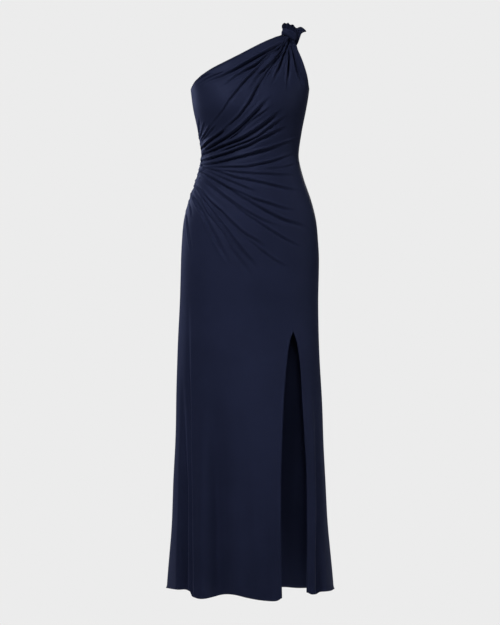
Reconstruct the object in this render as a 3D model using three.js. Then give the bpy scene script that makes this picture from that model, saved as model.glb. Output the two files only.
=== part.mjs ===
import * as THREE from "three";

// A long one-shoulder dress, filled out and hollow. Millimetres, +Z up, front towards -Y.
// The origin is under the strap at the shoulder that holds the dress up.

// Driving sizes
const clothWall = 1.6; // built thickness of the cloth
const seamGap = 0.3; // room between pieces that are sewn together
const centreX = -109; // middle of the dress, measured from the held shoulder
const underarmZ = -115;
const hipZ = -620; // below this the skirt hangs in long folds
const sectionFullness = 0.9; // under 1 makes a section squarer than an ellipse
const elevationDistance = 5600; // front elevation sizes are read from this far away
const elevationHeight = -711.5; // and from this height
const elevationPasses = 4; // rounds that settle a place's own nearness

// Shoulder knot: a band round the gathered ends of both panels
const bandX = -1;
const bandTopZ = 44.5; // at its middle
const bandTopSlope = -0.36; // of the upper edge, down towards the arm
const bandFlare = 5; // how far the lower edge stands out at the neck side
const bandFlarePower = 1.5;
const bandWall = 2;
const bandInnerHalfWidth = 15.9;
const bandInnerHalfDepth = 8;
const bandBulge = 1.4;
const strapRoom = 0.45; // all round between a gathered end and the band
const strapHalfWidth = bandInnerHalfWidth - strapRoom;
const strapHalfDepth = bandInnerHalfDepth - strapRoom;
const strapTurn = THREE.MathUtils.degToRad(78); // the gathered end spans this much to each side
const strapInBand = 6; // how far a gathered end reaches into the band
const strapBlend = [8, 36]; // below its end, where the strap starts and stops leaving the band's form
const gatherWaves = 3;
const gatherDepth = 1.1;
const cornerBelowBand = 3; // the panel's corners lie this far under the band's lower edge

// Named columns make a short table readable: each row becomes an object.
function table(columns, rows) {
  return rows.map((row) => Object.fromEntries(columns.map((name, i) => [name, row[i]])));
}

// Widths each way from the middle, depths before and behind the shoulder plane, and the side seam's y.
const sections = table(
  ["z", "left", "right", "front", "back", "seam"],
  [
    [70, 186, 186, 60, 60, 0],
    [0, 180, 180, 84, 72, 0],
    [-60, 164, 167, 94, 84, 0],
    [-121, 158, 161.5, 112, 95, 0],
    [-169, 151.5, 153.5, 116, 98, 0],
    [-222, 139.5, 142, 104, 93, 0],
    [-276, 130, 133.5, 92, 85, 0],
    [-303, 130, 133.5, 90, 85, 1],
    [-356, 143.5, 147, 94, 97, 3],
    [-410, 162, 165.5, 99, 113, 5],
    [-464, 175.5, 178.5, 103, 123, 7],
    [-517, 181, 184, 106, 127, 9],
    [-571, 184, 187, 108, 127, 12],
    [-691, 187, 185.5, 110, 124, 20],
    [-812, 193, 189, 114, 122, 30],
    [-1026, 200, 199, 124, 122, 48],
    [-1268, 210, 212, 136, 126, 70],
    [-1500, 228, 234, 146, 132, 92],
  ],
);

// Bust cups: soft rises in the front.
const cups = { across: 82, z: -188, wide: 46, high: 50, rise: 13 };

// Shoulder line: its height over the strap, its slope, and how deep the dress is below it. The
// depth turns over from the section's to the shoulder's as a mean of this power.
const shoulderLine = { across: 108, z: 9, slope: -0.48, neckAcross: 52, power: 4 };
const shoulderDrop = table(
  ["drop", "front", "back"],
  [
    [-60, 2, 2],
    [-10, 2.2, 2.2],
    [0, 5, 5],
    [12, 21, 20],
    [30, 45, 41],
    [60, 77, 67],
    [110, 106, 94],
    [220, 200, 180],
  ],
);

// Top edge of the front in front elevation: neckline, gathered end, armhole.
const frontNeckline = table(
  ["across", "z"],
  [
    [-158, -115],
    [-154, -104],
    [-144, -89],
    [-113, -65],
    [-62, -38],
    [-8, -11],
    [35, 10],
    [66, 22.5],
    [85, 29.5],
  ],
);
const frontArmhole = table(
  ["across", "z"],
  [
    [123.4, 2],
    [128.5, -8],
    [141, -35],
    [149.5, -62],
    [156, -88],
    [159, -103],
    [161.5, -115],
  ],
);
const backNeckline = table(
  ["across", "z"],
  [
    [-158, -115],
    [-152, -103],
    [-132, -88],
    [-100, -70],
    [-55, -48],
    [0, -22],
    [45, 5],
    [70, 21],
    [85, 29.5],
  ],
);
const backArmhole = table(
  ["across", "z"],
  [
    [123.4, 2],
    [126, -10],
    [134, -34],
    [143, -62],
    [152, -88],
    [157, -103],
    [161.5, -115],
  ],
);

// Hem of the front in front elevation. The lips of the slit end it on each side of the opening.
const frontHem = table(
  ["across", "z"],
  [
    [-224, -1449],
    [-193, -1454],
    [-174, -1453],
    [-160, -1458],
    [-154, -1470],
    [-138, -1477.5],
    [-122, -1478.5],
    [-99, -1474.5],
    [-72, -1468.5],
    [-54, -1467],
    [-35, -1469],
    [-8, -1476],
    [24, -1482],
    [56, -1485],
    [75, -1483.5],
    [88, -1476],
    [153, -1461.5],
    [167, -1467],
    [180, -1465],
    [188, -1460],
    [204, -1459],
    [219, -1456.5],
    [227, -1451],
  ],
);
const backHemZ = -1462;
const backHemPower = 4; // how late the back's hem rises to the front's at each side seam

// Slit lips in front elevation, from the top of the slit down.
const slit = table(
  ["z", "left", "right"],
  [
    [-762, 117, 117],
    [-789, 108, 126.5],
    [-858, 98.6, 136.4],
    [-954, 91.7, 141.8],
    [-1053, 87.6, 147.7],
    [-1155, 84.4, 154.1],
    [-1300, 84.4, 154.4],
    [-1500, 88, 153],
  ],
);
const slitNearness = 1.022; // how much larger the lips look than in the shoulder's plane

// Folds in front elevation: each runs from one point over a second to a third. Wide and deep are the
// valley's half width and depth, crest the height of the roll beside it, which lies above a level fold
// and to the right of an upright one when it is positive, and on the other side when negative.
const foldColumns = ["x0", "z0", "x1", "z1", "x2", "z2", "wide", "deep", "crest"];

// These fan out from the shoulder knot, where they start.
const shoulderFolds = table(foldColumns, [
  [62, 2, -27, -52, -134, -112, 10.5, 8, 5],
  [38, -27, -27, -71, -96, -118, 9, 5.5, -3.5],
  [50, -27, 0, -88, -60, -152, 11.5, 5, -5],
  [91, 0, 30, -69, -40, -140, 11.5, 6.5, 5.5],
  [88, -20, 18, -128, -50, -195, 12.5, 5.5, -5.5],
  [98, -2, 76, -54, 54, -108, 10.5, 7, 4],
  [106, 5, 106, -42, 101, -108, 9, 6.5, 4],
  [114, -8, 127, -60, 143, -108, 8, 4, -3.5],
]);

// These fan out from the gathered side seam, where they end.
const waistFolds = table(foldColumns, [
  [62, -129, -20, -205, -117, -272, 14.5, 8, 6],
  [94, -163, -4, -234, -112, -280, 14.5, 8, 6],
  [107, -214, -3, -264, -120, -303, 13, 8, 5],
  [94, -263, 0, -290, -130, -318, 13, 6.5, 4],
  [126, -284, 32, -318, -95, -324, 11.5, 5, 4],
  [147, -389, 18, -362, -122, -321, 13, 5, 4],
  [134, -441, 2, -403, -128, -333, 14.5, 6, 4],
  [166, -490, 17, -425, -134, -330, 15.5, 8, 5],
  [153, -541, 15, -468, -138, -342, 15.5, 9, 7],
  [107, -592, -14, -508, -146, -360, 15.5, 9, 6.5],
  [32, -606, -62, -500, -152, -380, 14.5, 7, 5],
  [-51, -587, -107, -490, -160, -400, 13, 6, -4],
  [-62, -224, -94, -246, -128, -276, 9, 5, 3],
]);

// These hang from the hip and grow towards the hem, where they end.
const skirtFolds = table(foldColumns, [
  [-164, -660, -168, -1080, -167, -1480, 18, 20, 4],
  [-92, -900, -88, -1200, -80, -1480, 42, 34, 0],
  [172, -860, 184, -1170, 187, -1480, 14, 18, -5],
]);

// The back, seen through the cloth from the front: the same gathers carried on from the side seam
// and the shoulder, and soft flares in the skirt.
const backShoulderFolds = table(foldColumns, [
  [70, 4, 0, -45, -104, -106, 11.5, 5.5, 3.5],
  [88, -4, 20, -80, -58, -150, 12.5, 5.5, -3.5],
  [100, -4, 76, -66, 44, -136, 11.5, 6, 3.5],
  [108, 0, 108, -50, 104, -124, 10.5, 5.5, 3.5],
]);
const backWaistFolds = table(foldColumns, [
  [70, -176, -24, -232, -122, -280, 15, 5.5, 4],
  [98, -246, -8, -276, -124, -304, 14, 5.5, 4],
  [112, -314, 6, -322, -128, -322, 14, 4.5, 3],
  [120, -404, 8, -378, -132, -334, 15, 5.5, 4],
  [104, -496, -12, -446, -140, -348, 16, 7, 5],
  [30, -570, -60, -490, -150, -376, 15, 6, 4.5],
]);
const backSkirtFolds = table(foldColumns, [
  [-110, -760, -118, -1100, -124, -1480, 40, 22, 0],
  [10, -800, 4, -1150, -4, -1480, 44, 26, 0],
  [118, -760, 128, -1100, 136, -1480, 38, 22, 0],
]);

// How strong and how wide a fold is along its length: it grows from start over the share grown, and
// falls to end over the last share ends. Its width goes from spread's first to its second value.
const foldShape = {
  shoulder: { start: 0.5, grown: 0.2, end: 0, ends: 0.4, spread: [0.55, 1.15] },
  waist: { start: 0, grown: 0.35, end: 0.55, ends: 0.15, spread: [1.15, 0.6] },
  skirt: { start: 0, grown: 1.15, end: 1, ends: 0.15, spread: [0.6, 1] },
};
const foldSteps = 14; // straight steps that a fold's path is made of
const crestAt = 1.7; // middle of a crest, in half widths of its valley
const crestWide = 1.05; // half width of a crest, in the same measure
const levelFold = 0.35; // a fold counts as level where up and down is over this share of its sides

// Grid sizes: rows from the top edge to a level line, on to the hip, and on to the hem.
const levelZ = -240;
const spreadZ = -340; // here the columns that leave the knot have spread out evenly
const topRows = 16;
const edgeRow = 0.027; // the first row below the top edge is this narrow, to end below the band
const hipRows = 20;
const hemRows = 9;
const rowCount = topRows + hipRows + hemRows;

// A smooth curve through the rows of a table, for one column against another.
function curveOf(rows, key, column) {
  const down = rows[0][key] > rows[rows.length - 1][key];
  const sorted = down ? [...rows].reverse() : rows;
  const at = sorted.map((row) => row[key]);
  const value = sorted.map((row) => row[column]);
  const slope = at.map((_, i) => {
    const a = Math.max(i - 1, 0);
    const b = Math.min(i + 1, at.length - 1);
    return (value[b] - value[a]) / (at[b] - at[a]);
  });
  return (position) => {
    const x = THREE.MathUtils.clamp(position, at[0], at[at.length - 1]);
    let i = 0;
    while (i < at.length - 2 && x > at[i + 1]) i += 1;
    const step = at[i + 1] - at[i];
    const t = (x - at[i]) / step;
    const t2 = t * t;
    const t3 = t2 * t;
    return (
      (2 * t3 - 3 * t2 + 1) * value[i] +
      (t3 - 2 * t2 + t) * step * slope[i] +
      (3 * t2 - 2 * t3) * value[i + 1] +
      (t3 - t2) * step * slope[i + 1]
    );
  };
}

const leftWidth = curveOf(sections, "z", "left");
const rightWidth = curveOf(sections, "z", "right");
const frontDepth = curveOf(sections, "z", "front");
const backDepth = curveOf(sections, "z", "back");
const seamY = curveOf(sections, "z", "seam");
const frontDrop = curveOf(shoulderDrop, "drop", "front");
const backDrop = curveOf(shoulderDrop, "drop", "back");

const { lerp, smoothstep } = THREE.MathUtils;

// Height of the shoulder line over a place across the body.
function shoulderHeight(across) {
  const out = Math.max(Math.abs(across), shoulderLine.neckAcross);
  return shoulderLine.z + shoulderLine.slope * (out - shoulderLine.across);
}

// The filled dress without folds. Angle 0 is the middle of the front, 90 degrees the seam on +X.
function basePoint(angle, z) {
  const inFront = Math.cos(angle) >= 0;
  const half = Math.sin(angle) < 0 ? leftWidth(z) : rightWidth(z);
  const across = half * Math.sin(angle);
  const seam = seamY(z);
  const full = Math.abs(Math.cos(angle)) ** sectionFullness;
  const drop = shoulderHeight(across) - z;
  let depth = full * (inFront ? frontDepth(z) + seam : backDepth(z) - seam);
  if (inFront) {
    const cupX = (Math.abs(across) - cups.across) / cups.wide;
    const cupZ = (z - cups.z) / cups.high;
    depth += cups.rise * full * Math.exp(-cupX * cupX - cupZ * cupZ);
  }
  const most = inFront ? frontDrop(drop) : backDrop(drop);
  const { power } = shoulderLine;
  depth = (depth * most) / (depth ** power + most ** power) ** (1 / power);
  return new THREE.Vector3(centreX + across, seam + (inFront ? -depth : depth), z);
}

function baseNormal(angle, z) {
  const step = 0.01;
  const rise = 2;
  const around = basePoint(angle + step, z).sub(basePoint(angle - step, z));
  const up = basePoint(angle, z + rise).sub(basePoint(angle, z - rise));
  return around.cross(up).normalize();
}

function angleAcross(across, z, inFront) {
  const half = across < 0 ? leftWidth(z) : rightWidth(z);
  const angle = Math.asin(THREE.MathUtils.clamp(across / half, -1, 1));
  return inFront ? angle : Math.PI - angle;
}

// Angle and height on the dress of a place in front elevation. The back is read straight on.
function fromElevation(across, z, inFront) {
  let nearness = 1;
  let place = { angle: 0, z };
  for (let pass = 0; pass < elevationPasses; pass += 1) {
    const height = elevationHeight + (z - elevationHeight) * nearness;
    place = { angle: angleAcross(across * nearness, height, inFront), z: height };
    if (inFront) nearness = 1 + basePoint(place.angle, place.z).y / elevationDistance;
  }
  return place;
}

// A fold ready to be measured against: points along it, and the side on which its crest lies.
function foldOf(row, inFront, kind) {
  const points = [];
  for (let i = 0; i <= foldSteps; i += 1) {
    const t = i / foldSteps;
    const a = (1 - t) * (1 - 2 * t);
    const b = 4 * t * (1 - t);
    const c = t * (2 * t - 1);
    const across = a * row.x0 + b * row.x1 + c * row.x2;
    const z = a * row.z0 + b * row.z1 + c * row.z2;
    const place = fromElevation(across, z, inFront);
    points.push(basePoint(place.angle, place.z));
  }
  const half = foldSteps / 2;
  const middle = points[half];
  const along = points[half + 1].clone().sub(points[half - 1]).normalize();
  const outward = new THREE.Vector3(middle.x - centreX, middle.y - seamY(middle.z), 0);
  const acrossFold = along.clone().cross(outward).normalize();
  const upward = Math.abs(acrossFold.z) > levelFold ? acrossFold.z : acrossFold.x;
  return { ...row, shape: foldShape[kind], points, turn: upward < 0 ? -1 : 1, inFront };
}

const folds = [
  ...shoulderFolds.map((row) => foldOf(row, true, "shoulder")),
  ...waistFolds.map((row) => foldOf(row, true, "waist")),
  ...skirtFolds.map((row) => foldOf(row, true, "skirt")),
  ...backShoulderFolds.map((row) => foldOf(row, false, "shoulder")),
  ...backWaistFolds.map((row) => foldOf(row, false, "waist")),
  ...backSkirtFolds.map((row) => foldOf(row, false, "skirt")),
];

// Height of all folds together at a point of the base: each valley is a bell across the fold's
// nearest point, with a second bell beside it for the crest.
function foldHeight(point, normal) {
  const offset = new THREE.Vector3();
  const along = new THREE.Vector3();
  let height = 0;
  for (const fold of folds) {
    let least = Infinity;
    let share = 0;
    let side = 1;
    for (let i = 0; i + 1 < fold.points.length; i += 1) {
      along.subVectors(fold.points[i + 1], fold.points[i]);
      offset.subVectors(point, fold.points[i]);
      const t = THREE.MathUtils.clamp(offset.dot(along) / along.lengthSq(), 0, 1);
      offset.addScaledVector(along, -t);
      const away = offset.length();
      if (away < least) {
        least = away;
        share = (i + t) / (fold.points.length - 1);
        side = Math.sign(along.cross(normal).dot(offset)) * fold.turn;
      }
    }
    const { start, grown, end, ends, spread } = fold.shape;
    const strength =
      lerp(start, 1, smoothstep(share, 0, grown)) * lerp(end, 1, smoothstep(1 - share, 0, ends));
    const q = (side * least) / (fold.wide * lerp(spread[0], spread[1], share));
    const fromCrest = (q - Math.sign(fold.crest) * crestAt) / crestWide;
    height -= fold.deep * strength * Math.exp(-q * q);
    height += Math.abs(fold.crest) * strength * Math.exp(-fromCrest * fromCrest);
  }
  return height;
}

function clothPoint(angle, z) {
  const point = basePoint(angle, z);
  const normal = baseNormal(angle, z);
  return point.addScaledVector(normal, foldHeight(point, normal));
}

// Point at a share of a polyline's length, from a table with across and z.
function alongEdge(rows, share) {
  const path = new THREE.CurvePath();
  for (let i = 0; i + 1 < rows.length; i += 1) {
    path.add(
      new THREE.LineCurve(
        new THREE.Vector2(rows[i].across, rows[i].z),
        new THREE.Vector2(rows[i + 1].across, rows[i + 1].z),
      ),
    );
  }
  return path.getPoint(share);
}

// Lower edge of the band, lowest just right of its middle and highest at the neck side.
const bandLowEdge = curveOf(
  table(
    ["x", "z"],
    [
      [-22, 35],
      [-17, 34],
      [-8, 28],
      [4, 20],
      [11, 17],
      [18, 19],
      [22, 20],
    ],
  ),
  "x",
  "z",
);

// The gathered end of a panel as it runs inside the band. Turn 0 is its middle.
function strapPoint(turn, z, inFront) {
  const wave = Math.cos((turn / strapTurn) * Math.PI * gatherWaves);
  const squeeze = (gatherDepth * (1 + wave)) / 2;
  const halfWidth = strapHalfWidth - squeeze * Math.abs(Math.sin(turn));
  const halfDepth = strapHalfDepth - squeeze;
  const depth = halfDepth * Math.cos(turn);
  return new THREE.Vector3(bandX + halfWidth * Math.sin(turn), inFront ? -depth : depth, z);
}

function bandTopEdge(x) {
  return bandTopZ + bandTopSlope * (x - bandX);
}

function strapEndZ(turn) {
  return bandLowEdge(bandX + strapHalfWidth * Math.sin(turn)) + strapInBand;
}

// Where each column of a panel starts: on the neckline, in the band, or on the armhole.
function topOf(column, panel) {
  const { neckColumns, strapColumns, columns, inFront } = panel;
  const strapStart = neckColumns + 2;
  const strapStop = strapStart + strapColumns;
  if (column >= strapStart && column <= strapStop) {
    const turn = lerp(-strapTurn, strapTurn, (column - strapStart) / strapColumns);
    const z = strapEndZ(turn);
    const point = strapPoint(turn, z, inFront);
    return { angle: angleAcross(point.x - centreX, z, inFront), z, turn };
  }
  if (column === strapStart - 1 || column === strapStop + 1) {
    const turn = column < strapStart ? -strapTurn : strapTurn;
    const point = strapPoint(turn, 0, inFront);
    const z = bandLowEdge(point.x) - cornerBelowBand;
    return { angle: angleAcross(point.x - centreX, z, inFront), z, turn };
  }
  const onNeck = column <= neckColumns;
  const share = onNeck
    ? column / neckColumns
    : (column - strapStop - 2) / (columns - strapStop - 2);
  const place = alongEdge(onNeck ? panel.neckline : panel.armhole, share);
  const found = fromElevation(place.x, place.y, inFront);
  const atSeam = column === 0 || column === columns;
  return atSeam ? { angle: ((onNeck ? -1 : 1) * Math.PI) / 2, z: underarmZ } : found;
}

// Share of the way round the panel, from the seam on -X to the seam on +X, for an even spread.
function evenAngle(column, z, panel) {
  const half = Math.PI / 2;
  if (!panel.slitColumn) return Math.PI + half - (Math.PI * column) / panel.columns;
  const opening = slitAngles(z);
  const { slitColumn, columns } = panel;
  if (column <= slitColumn) return lerp(-half, opening.left, column / slitColumn);
  return lerp(opening.right, half, (column - slitColumn) / (columns - slitColumn));
}

const slitTop = fromElevation(slit[0].left, slit[0].z, true);
const slitLeft = curveOf(slit, "z", "left");
const slitRight = curveOf(slit, "z", "right");

function slitAngles(z) {
  if (z >= slitTop.z) return { left: slitTop.angle, right: slitTop.angle };
  const elevationZ = elevationHeight + (z - elevationHeight) * slitNearness;
  return {
    left: fromElevation(slitLeft(elevationZ), elevationZ, true).angle,
    right: fromElevation(slitRight(elevationZ), elevationZ, true).angle,
  };
}

const frontHemCurve = curveOf(frontHem, "across", "z");

// Height of the hem under a column. The front's elevation is set back by the hem's own nearness.
function hemHeight(angle, panel) {
  const onCloth = clothPoint(angle, backHemZ);
  if (!panel.inFront) {
    const towardsSeam = Math.abs(Math.sin(angle)) ** backHemPower;
    const side = Math.sin(angle) < 0 ? -Math.PI / 2 : Math.PI / 2;
    return lerp(backHemZ, hemHeight(side, frontPanel), towardsSeam);
  }
  const nearness = 1 + onCloth.y / elevationDistance;
  const elevationZ = frontHemCurve((onCloth.x - centreX) / nearness);
  return elevationHeight + (elevationZ - elevationHeight) * nearness;
}

// A panel's outer points: rows run from the top edge to the hem, columns from seam to seam.
// Returns the triangles too. Below the top of the slit its column is doubled, one for each lip.
function panelSurface(panel) {
  const { columns, inFront, slitColumn } = panel;
  const tops = Array.from({ length: columns + 1 }, (_, i) => topOf(i, panel));
  const points = [];
  const normals = [];
  const pointAt = (column, row, rightLip) => {
    const top = tops[column];
    let z = levelZ;
    if (row <= topRows) {
      const even = (row - 1) / (topRows - 1);
      z = lerp(top.z, levelZ, row === 0 ? 0 : lerp(edgeRow, 1, even));
    } else if (row <= topRows + hipRows) {
      z = lerp(levelZ, hipZ, (row - topRows) / hipRows);
    }
    const lowAngle = (height) => {
      if (rightLip && column === slitColumn) return slitAngles(height).right;
      return evenAngle(column, height, panel);
    };
    if (row > topRows + hipRows) {
      const share = (row - topRows - hipRows) / hemRows;
      const hem = hemHeight(lowAngle(backHemZ), panel);
      z = row === slitRow ? slitTop.z : lerp(hipZ, hem, share);
    }
    const spread = smoothstep(top.z - z, 0, top.z - spreadZ);
    let topAngle = top.angle;
    if (!inFront && topAngle < 0) topAngle += 2 * Math.PI;
    const angle = lerp(topAngle, lowAngle(z), spread);
    const point = clothPoint(angle, z);
    if (top.turn === undefined) return point;
    const hold = 1 - smoothstep(strapEndZ(top.turn) - z, strapBlend[0], strapBlend[1]);
    return point.lerp(strapPoint(top.turn, z, inFront), hold);
  };
  const grid = [];
  for (let row = 0; row <= rowCount; row += 1) {
    const line = [];
    for (let column = 0; column <= columns; column += 1) {
      line.push(points.length);
      points.push(pointAt(column, row, false));
    }
    grid.push(line);
  }
  const lipLine = grid.map((line, row) => {
    if (!slitColumn || row <= slitRow) return slitColumn ? line[slitColumn] : -1;
    points.push(pointAt(slitColumn, row, true));
    return points.length - 1;
  });
  const cell = (row, column, fromRight) =>
    fromRight && column === slitColumn ? lipLine[row] : grid[row][column];
  for (let row = 0; row <= rowCount; row += 1) {
    for (let column = 0; column <= columns; column += 1) {
      normals[grid[row][column]] = gridNormal(points, cell, row, column, panel, false);
      if (column === slitColumn && lipLine[row] !== grid[row][column]) {
        normals[lipLine[row]] = gridNormal(points, cell, row, column, panel, true);
      }
    }
  }
  const triangles = [];
  for (let row = 0; row < rowCount; row += 1) {
    for (let column = 0; column < columns; column += 1) {
      const right = slitColumn !== undefined && column >= slitColumn;
      const a = cell(row, column, right);
      const b = cell(row, column + 1, right);
      const c = cell(row + 1, column + 1, right);
      const d = cell(row + 1, column, right);
      if (inFront) triangles.push([a, d, c], [a, c, b]);
      else triangles.push([a, c, d], [a, b, c]);
    }
  }
  const sewn = inFront ? -seamGap / 2 : seamGap / 2;
  for (const line of grid) {
    points[line[0]].y += sewn;
    points[line[columns]].y += sewn;
  }
  return { points, normals, triangles };
}

// Outward normal from a grid point's neighbours. On a side seam it comes from the seam alone, so
// that both panels share it, and at the strap's corners from the strap's side.
function gridNormal(points, cell, row, column, panel, rightLip) {
  const { columns, slitColumn, inFront } = panel;
  const right = rightLip || (slitColumn !== undefined && column > slitColumn);
  const onLip = column === slitColumn && row > slitRow;
  const strapStart = panel.neckColumns + 2;
  const strapStop = strapStart + panel.strapColumns;
  let from = column === 0 || (onLip && rightLip) ? column : column - 1;
  let to = column === columns || (onLip && !rightLip) ? column : column + 1;
  if (row < 2 && column === strapStop + 1) [from, to] = [column - 2, column];
  if (row < 2 && column === strapStart - 1) [from, to] = [column, column + 2];
  const above = points[cell(Math.max(row - 1, 0), column, right)];
  const below = points[cell(Math.min(row + 1, rowCount), column, right)];
  const up = above.clone().sub(below);
  if (column === 0 || column === columns) {
    const sideways = new THREE.Vector3(0, column === 0 ? -1 : 1, 0);
    return sideways.cross(up).normalize();
  }
  const across = points[cell(row, to, right)].clone().sub(points[cell(row, from, right)]);
  return across.cross(up).normalize().multiplyScalar(inFront ? 1 : -1);
}

// A closed wall from a surface: the surface itself, its copy set inwards unless other inner points
// are given, and a rim along each edge that only one triangle uses.
function wallGeometry({ points, normals, triangles }, thickness, innerPoints) {
  const count = points.length;
  const setIn = (point, i) => point.clone().addScaledVector(normals[i], -thickness);
  const inner = innerPoints ?? points.map(setIn);
  const positions = [...points, ...inner].flatMap((point) => point.toArray());
  const used = new Set();
  for (const [a, b, c] of triangles) {
    used.add(a * count + b).add(b * count + c).add(c * count + a);
  }
  const index = triangles.flat();
  for (const [a, b, c] of triangles) {
    index.push(c + count, b + count, a + count);
    for (const [from, to] of [[a, b], [b, c], [c, a]]) {
      if (used.has(to * count + from)) continue;
      index.push(to, from, from + count, to, from + count, to + count);
    }
  }
  const geometry = new THREE.BufferGeometry();
  geometry.setAttribute("position", new THREE.Float32BufferAttribute(positions, 3));
  geometry.setIndex(index);
  geometry.computeVertexNormals();
  return geometry;
}

// A surface over a plain grid of points, given as a function of row and column.
function gridSurface(rows, columns, closed, pointOf) {
  const points = [];
  const width = closed ? columns : columns + 1;
  const at = (row, column) => row * width + (closed ? (column + columns) % columns : column);
  for (let row = 0; row <= rows; row += 1) {
    for (let column = 0; column < width; column += 1) points.push(pointOf(row, column));
  }
  const normals = points.map((_, i) => {
    const row = Math.floor(i / width);
    const column = i % width;
    const before = closed ? column - 1 : Math.max(column - 1, 0);
    const after = closed ? column + 1 : Math.min(column + 1, columns);
    const across = points[at(row, after)].clone().sub(points[at(row, before)]);
    const up = points[at(Math.min(row + 1, rows), column)]
      .clone()
      .sub(points[at(Math.max(row - 1, 0), column)]);
    return across.cross(up).normalize();
  });
  const triangles = [];
  for (let row = 0; row < rows; row += 1) {
    for (let column = 0; column < columns; column += 1) {
      const a = at(row, column);
      const b = at(row, column + 1);
      const c = at(row + 1, column + 1);
      const d = at(row + 1, column);
      triangles.push([a, b, c], [a, c, d]);
    }
  }
  return { points, normals, triangles };
}

// The band: an oval ring with a sloping lower edge and two soft wraps, rounder outside than inside.
function bandGeometry() {
  const rows = 7;
  const columns = 36;
  const ring = (outside) =>
    gridSurface(rows, columns, true, (row, column) => {
      const turn = (2 * Math.PI * column) / columns;
      const share = row / rows;
      const swell = outside * (bandWall + bandBulge * Math.sin(Math.PI * share));
      const neckward = Math.max(0, -Math.sin(turn));
      const flare = bandFlare * (1 - share) ** bandFlarePower * neckward * neckward;
      const x = bandX + (bandInnerHalfWidth + swell + flare) * Math.sin(turn);
      const y = -(bandInnerHalfDepth + swell) * Math.cos(turn);
      return new THREE.Vector3(x, y, lerp(bandLowEdge(x), bandTopEdge(x), share));
    });
  return wallGeometry(ring(1), bandWall, ring(0).points);
}

// Frill edges by their turn round the band: each column runs from inside the band over its top,
// towards a point that it bends to, and ends at the edge.
const frillColumns = ["turn", "overX", "overY", "overZ", "edgeX", "edgeY", "edgeZ"];
const frontFrillRows = table(frillColumns, [
  [-78, -18, -2, 54, -21, -3, 53],
  [-65, -17.5, -5, 54, -22, -6, 56],
  [-52, -14.5, -8, 56, -15, -10, 64],
  [-39, -10.5, -9, 55, -10.5, -12, 61.5],
  [-26, -6.5, -10, 56, -6, -13, 64],
  [-6.5, -1, -10, 54, 0, -13, 58.5],
  [6.5, 3, -10, 53, 3.6, -12, 57.5],
  [19.5, 6.5, -9.5, 53, 7, -12, 60],
  [39, 11, -8, 50, 11.5, -10, 54.5],
  [58.5, 14.5, -6, 46, 16, -7, 50],
  [78, 17, -2.5, 43, 19, -3.5, 47],
]);
const backFrillRows = table(frillColumns, [
  [-78, -17, 2, 54, -19, 5, 55],
  [-52, -13, 8, 54, -14, 13, 59],
  [-26, -5, 10, 54, -4, 16, 58],
  [0, 4, 11, 53, 5, 17, 56],
  [19.5, 11, 10.5, 52, 14, 18, 53.5],
  [32.5, 17, 10, 52, 21.5, 17.5, 52],
  [45.5, 20, 10, 53.5, 26, 17, 54.7],
  [52, 23, 9.5, 54, 31, 16, 54.7],
  [58.5, 25, 9.5, 54, 35.5, 15, 52.5],
  [65, 27, 9.5, 52, 43.7, 13, 43.2],
  [71.5, 22, 10, 52, 30, 12.5, 35.5],
  [78, 18, 9.5, 50, 17.5, 11, 3],
]);
const frillWall = 1.2;
const frillWaves = 3.5;
const frillWaveDepth = 1.8;
const frillFromBand = 0.6; // a frill bends over this far above the band, and starts as far over a strap's end

function frillGeometry(rows, inFront) {
  const insideRows = 2;
  const outsideRows = 7;
  const columns = 24;
  const curves = Object.fromEntries(
    frillColumns.slice(1).map((name) => [name, curveOf(rows, "turn", name)]),
  );
  const at = (name, degrees) =>
    new THREE.Vector3(
      curves[name + "X"](degrees),
      curves[name + "Y"](degrees),
      curves[name + "Z"](degrees),
    );
  const surface = gridSurface(insideRows + outsideRows, columns, false, (row, column) => {
    const share = column / columns;
    const turn = lerp(-strapTurn, strapTurn, inFront ? share : 1 - share);
    const degrees = THREE.MathUtils.radToDeg(turn);
    const lip = strapPoint(turn, 0, inFront);
    lip.z = bandTopEdge(lip.x) + frillFromBand;
    if (row <= insideRows) {
      const z = lerp(strapEndZ(turn) + frillFromBand, lip.z, row / insideRows);
      return strapPoint(turn, z, inFront);
    }
    const t = (row - insideRows) / outsideRows;
    const path = new THREE.QuadraticBezierCurve3(lip, at("over", degrees), at("edge", degrees));
    const wave = Math.sin((turn / strapTurn) * Math.PI * frillWaves);
    const point = path.getPoint(t);
    point.y += (inFront ? -1 : 1) * frillWaveDepth * wave * t;
    return point;
  });
  return wallGeometry(surface, frillWall);
}

const frontPanel = {
  inFront: true,
  columns: 44,
  neckColumns: 14,
  strapColumns: 12,
  slitColumn: 30,
  neckline: frontNeckline,
  armhole: frontArmhole,
};
const backPanel = {
  inFront: false,
  columns: 26,
  neckColumns: 8,
  strapColumns: 8,
  neckline: backNeckline,
  armhole: backArmhole,
};

// The row at which the slit opens is the one whose even height is nearest its top.
const slitRow =
  topRows + hipRows + Math.round(((slitTop.z - hipZ) / (backHemZ - hipZ)) * hemRows);

function jersey(colour) {
  return new THREE.MeshStandardMaterial({ color: colour, roughness: 0.62, metalness: 0 });
}

function piece(name, geometry, colour) {
  const mesh = new THREE.Mesh(geometry, jersey(colour));
  mesh.name = name;
  return mesh;
}

const dress = new THREE.Group();
dress.add(
  piece("front_panel", wallGeometry(panelSurface(frontPanel), clothWall), "#1f2437"),
  piece("back_panel", wallGeometry(panelSurface(backPanel), clothWall), "#1d2235"),
  piece("knot_band", bandGeometry(), "#23293d"),
  piece("front_frill", frillGeometry(frontFrillRows, true), "#1f2437"),
  piece("back_frill", frillGeometry(backFrillRows, false), "#1d2235"),
);

export default dress;
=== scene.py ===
import math

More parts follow.
